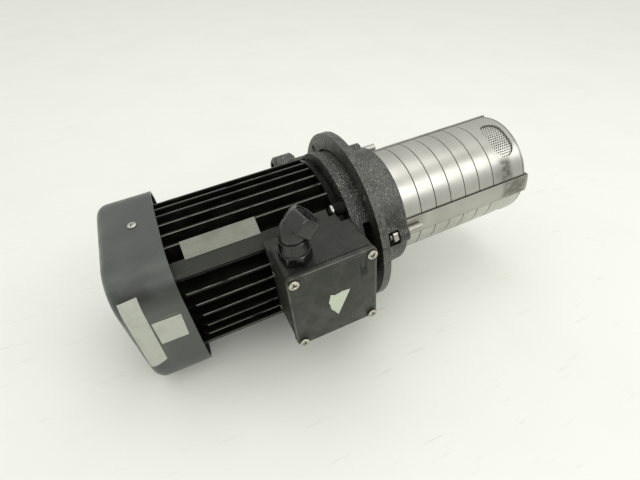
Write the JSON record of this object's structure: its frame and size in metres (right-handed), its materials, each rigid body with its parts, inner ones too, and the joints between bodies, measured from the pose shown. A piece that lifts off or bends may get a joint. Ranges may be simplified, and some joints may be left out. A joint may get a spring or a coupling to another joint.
{
  "type": "coolant pump",
  "caption": "Immersible multistage coolant pump: finned motor with terminal box, cast head with mounting flange, stack of sheet-steel chambers and strainer inlet.",
  "frame": {"origin": "centre of the mounting flange's lower face, on the shaft's axis", "axes": "+X along the shaft from the motor towards the inlet, -Y out of the terminal box's lid, +Z towards the cable gland"},
  "size_m": [0.4242, 0.2176, 0.1931],
  "materials": {
    "cover_paint": "matte dark-grey paint on a moulded cover",
    "black_paint": "satin black paint",
    "cast_black": "cast surface under black paint",
    "black_plastic": "moulded, fine grain",
    "nickel": "dull grey plated, handled",
    "stainless": "rolled sheet, brushed around",
    "zinc": "bright zinc plate",
    "steel": "turned and ground",
    "laminations": "stacked electrical sheet",
    "copper": "lacquered copper wire",
    "brass": "drawn",
    "bronze": "turned bearing bronze",
    "rubber": "black, soft",
    "ceramic": "lapped",
    "carbon": "lapped carbon",
    "block_resin": "brown moulding resin",
    "bare_aluminium": "thin brushed plate, bare"
  },
  "bodies": {
    "casing": {"fan_cover": "cover_paint", "fan_cover_screws": "zinc", "rear_end_shield": "black_paint", "tie_bolts": "steel", "rear_bearing_outer": "steel", "motor_housing": "black_paint", "stator_core": "laminations", "stator_windings": "copper", "front_bearing_outer": "steel", "front_end_shield": "black_paint", "corner_bolts": "zinc", "nameplate": "bare_aluminium", "terminal_box_base": "black_plastic", "lid_gasket": "rubber", "terminal_box_lid": "black_plastic", "lid_screws": "zinc", "terminal_block": "block_resin", "terminal_studs": "brass", "gland_elbow": "black_plastic", "gland_nut": "nickel", "gland_seal": "rubber", "gland_locknut": "black_plastic", "pump_head": "cast_black", "seal_seat": "ceramic", "top_ring": "stainless", "top_bush": "bronze", "chamber_1": "stainless", "chamber_2": "stainless", "chamber_3": "stainless", "chamber_4": "stainless", "chamber_5": "stainless", "inlet_sleeve": "stainless", "strainer_sheet": "stainless", "end_plate": "stainless", "end_bush": "bronze", "straps": "stainless", "strap_nuts": "zinc"},
    "rotor": {"cooling_fan": "black_plastic", "rear_bearing_inner": "steel", "rotor_core": "laminations", "motor_shaft": "steel", "front_bearing_inner": "steel", "coupling_upper": "steel", "coupling_lower": "steel", "coupling_screws": "steel", "seal_ring": "carbon", "seal_spring": "stainless", "pump_shaft": "stainless", "impeller_1": "stainless", "impeller_2": "stainless", "impeller_3": "stainless", "impeller_4": "stainless", "impeller_5": "stainless", "impeller_spacers": "stainless", "impeller_nut": "stainless"}
  },
  "joints": [
    {"name": "rotor_spin", "type": "hinge", "parent": "casing", "child": "rotor", "pos_m": [0, 0, 0], "axis": [1, 0, 0], "continuous": true}
  ]
}
